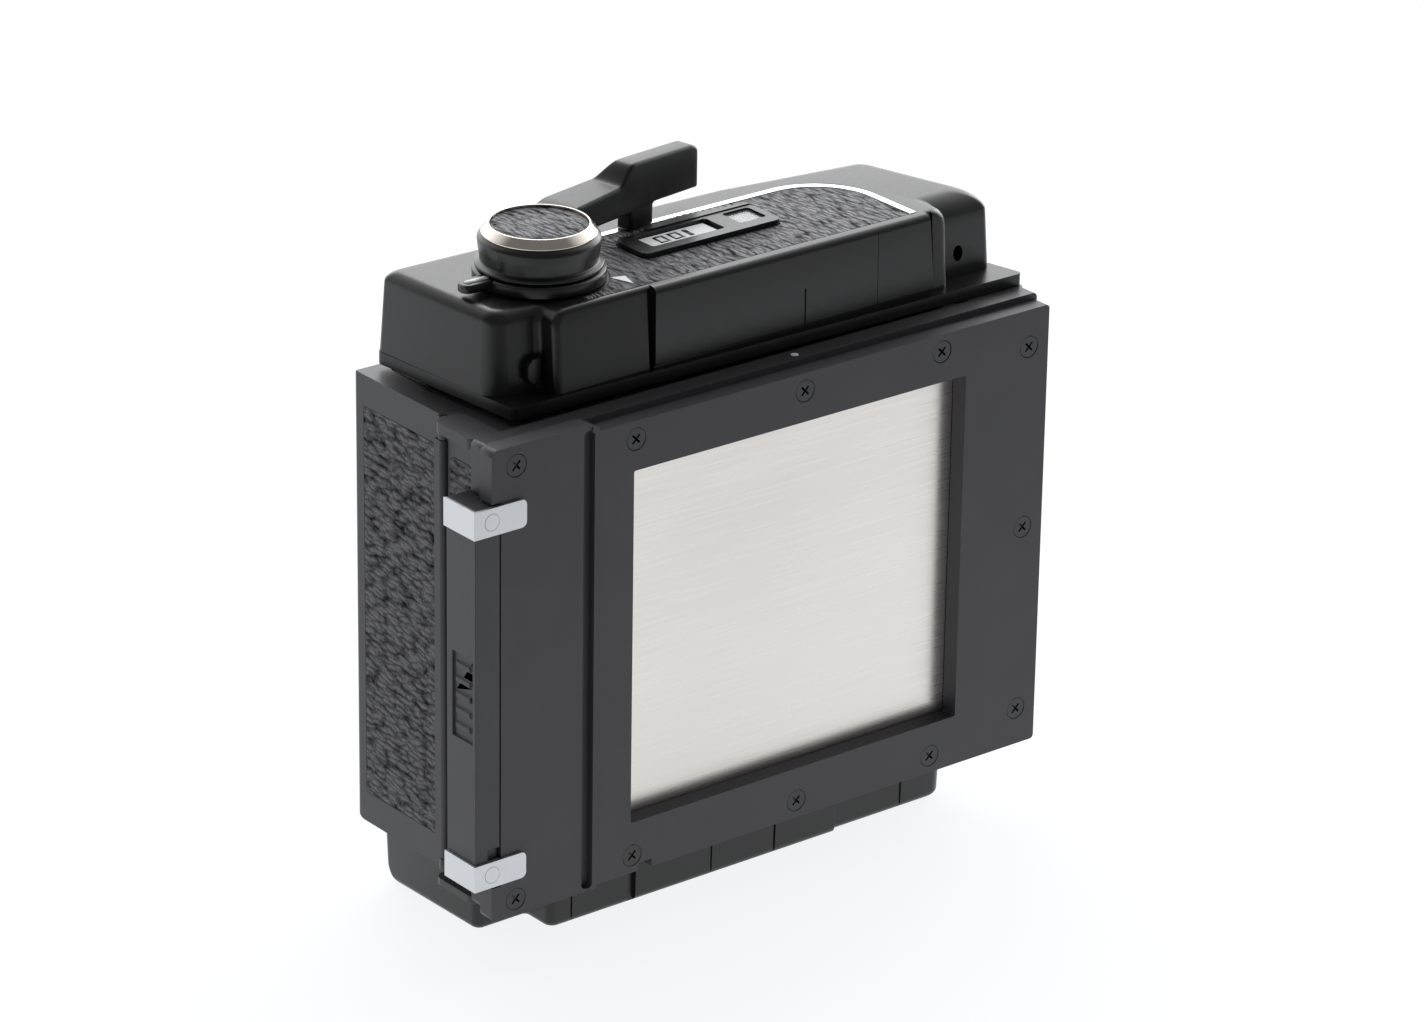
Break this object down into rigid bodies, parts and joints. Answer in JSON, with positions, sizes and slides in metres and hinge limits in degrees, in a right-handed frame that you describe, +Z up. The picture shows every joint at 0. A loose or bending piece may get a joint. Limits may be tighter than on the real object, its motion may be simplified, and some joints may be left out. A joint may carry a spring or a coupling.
{
  "type": "roll film magazine",
  "caption": "Slim film back with a dark slide, rear cover, advance lever, frame counter and spool drive, for a medium format camera.",
  "frame": {"origin": "middle of the footprint on the surface that the magazine stands on, the bottom of its base block", "axes": "+X along the front plate, away from the dark slide handle; -Y out of the front plate, towards the camera; +Z up, towards the advance lever"},
  "size_m": [0.1298, 0.0508, 0.1314],
  "materials": {
    "granular_black_paint": "fine granular satin black paint",
    "screw_black": "blackened screws",
    "body_black": "satin black paint",
    "gate_black": "matt black",
    "slide_steel": "fine brushed stainless sheet, warm grey",
    "clip_white_metal": "bright satin silver",
    "felt": "black felt and foam",
    "leatherette": "pebbled black leatherette",
    "steel": "plain steel",
    "spool_plastic": "black spool plastic",
    "brass": "cut brass",
    "gloss_black": "smooth black, soft gloss",
    "lever_black": "satin black",
    "warm_nickel": "polished warm nickel",
    "trim_chrome": "polished chrome strip",
    "window_clear": "clear window",
    "white_print": "white"
  },
  "bodies": {
    "body": {"front_plate": "granular_black_paint", "plate_screws": "screw_black", "body_frame": "body_black", "film_gate": "gate_black", "light_trap_felt": "felt", "body_leather_patch": "leatherette", "hinge_pin": "steel", "cover_light_seals": "felt", "insert_frame": "gate_black", "pressure_springs": "steel", "supply_upper_pin": "steel", "takeup_pin_spring": "steel", "supply_pin_spring": "steel", "mechanism_plate": "gloss_black", "bearing_bridge": "steel", "idler_post": "steel", "lever_return_spring": "steel", "counter_post": "steel", "top_cover": "gloss_black", "front_fascia": "gloss_black", "deck_leather": "leatherette", "deck_trim": "trim_chrome", "window_frame": "gloss_black", "window_glass": "window_clear", "format_label": "white_print", "white_marks": "white_print", "bottom_cover": "gloss_black", "cover_screws": "screw_black"},
    "dark_slide": {"dark_slide_sheet": "slide_steel", "dark_slide_handle": "body_black", "handle_clips": "clip_white_metal", "clip_rivets": "clip_white_metal"},
    "rear_cover": {"rear_cover": "body_black", "cover_leather_left": "leatherette", "cover_leather_right": "leatherette", "cover_leather_back": "leatherette", "memo_holder": "body_black"},
    "latch": {"cover_latch": "body_black"},
    "pressure_plate": {"pressure_plate": "gate_black"},
    "lever": {"advance_lever": "lever_black", "lever_hub": "gloss_black", "hub_chrome_ring": "warm_nickel", "hub_leather_disc": "leatherette", "lever_shaft": "steel", "lever_gear": "brass"},
    "idler": {"idler_gear": "brass"},
    "takeup": {"takeup_gear": "brass", "takeup_shaft": "steel", "takeup_spool": "spool_plastic"},
    "counter": {"counter_dial": "white_print", "counter_ratchet": "steel"},
    "release_ring": {"release_ring": "gloss_black", "ring_mark": "white_print"},
    "lock_button": {"lock_button": "gloss_black"},
    "takeup_pin": {"takeup_lower_pin": "steel"},
    "supply_pin": {"supply_lower_pin": "steel"},
    "takeup_side_roller": {"takeup_side_roller": "steel"},
    "supply_side_roller": {"supply_side_roller": "steel"},
    "metering_roller": {"metering_roller": "steel"}
  },
  "joints": [
    {"name": "dark_slide_pull", "type": "slide", "parent": "body", "child": "dark_slide", "axis": [-1, 0, 0], "range_m": [0, 0.105]},
    {"name": "rear_cover_hinge", "type": "hinge", "parent": "body", "child": "rear_cover", "pos_m": [-0.05525, -0.00337, 0.0563], "axis": [0, 0, 1], "range_deg": [0, 95]},
    {"name": "latch_slide", "type": "slide", "parent": "rear_cover", "child": "latch", "axis": [0, 0, 1], "range_m": [0, 0.005], "stiffness_N_per_m": 200},
    {"name": "pressure_plate_slide", "type": "slide", "parent": "body", "child": "pressure_plate", "axis": [0, 1, 0], "range_m": [0, 0.0011], "stiffness_N_per_m": 800, "deforming": ["pressure_springs"]},
    {"name": "advance_lever_turn", "type": "hinge", "parent": "body", "child": "lever", "pos_m": [-0.03145, 0.00118, 0.1163], "axis": [0, 0, 1], "range_deg": [0, 180], "stiffness_Nm_per_rad": 0.02},
    {"name": "idler_turn", "type": "hinge", "parent": "body", "child": "idler", "pos_m": [-0.02095, 0.00118, 0.1063], "axis": [0, 0, 1], "range_deg": [-360.01, 0]},
    {"name": "takeup_turn", "type": "hinge", "parent": "body", "child": "takeup", "pos_m": [-0.03145, 0.00118, 0.1063], "axis": [0, 0, 1], "range_deg": [0, 480.01]},
    {"name": "counter_turn", "type": "hinge", "parent": "body", "child": "counter", "pos_m": [0.01255, 0.00577, 0.1143], "axis": [0, 0, 1], "range_deg": [0, 30.01]},
    {"name": "release_ring_turn", "type": "hinge", "parent": "body", "child": "release_ring", "pos_m": [-0.03145, 0.00118, 0.1203], "axis": [0, 0, 1], "range_deg": [0, 134]},
    {"name": "lock_button_press", "type": "slide", "parent": "body", "child": "lock_button", "axis": [0, 1, 0], "range_m": [0, 0.0015], "stiffness_N_per_m": 300},
    {"name": "takeup_pin_pull", "type": "slide", "parent": "body", "child": "takeup_pin", "axis": [0, 0, -1], "range_m": [0, 0.0028], "stiffness_N_per_m": 400, "deforming": ["takeup_pin_spring"]},
    {"name": "supply_pin_pull", "type": "slide", "parent": "body", "child": "supply_pin", "axis": [0, 0, -1], "range_m": [0, 0.0028], "stiffness_N_per_m": 400, "deforming": ["supply_pin_spring"]},
    {"name": "takeup_side_roller_spin", "type": "hinge", "parent": "body", "child": "takeup_side_roller", "pos_m": [-0.04855, -0.01162, 0.0563], "axis": [0, 0, 1], "continuous": true},
    {"name": "supply_side_roller_spin", "type": "hinge", "parent": "body", "child": "supply_side_roller", "pos_m": [0.05265, -0.01162, 0.0563], "axis": [0, 0, 1], "continuous": true},
    {"name": "metering_roller_spin", "type": "hinge", "parent": "body", "child": "metering_roller", "pos_m": [-0.04755, 0.01337, 0.0563], "axis": [0, 0, 1], "continuous": true}
  ],
  "couplings": [
    {"joint": "idler_turn", "follows": "advance_lever_turn", "ratio": -2},
    {"joint": "takeup_turn", "follows": "advance_lever_turn", "ratio": 2.6667},
    {"joint": "counter_turn", "follows": "advance_lever_turn", "ratio": 0.16667}
  ]
}
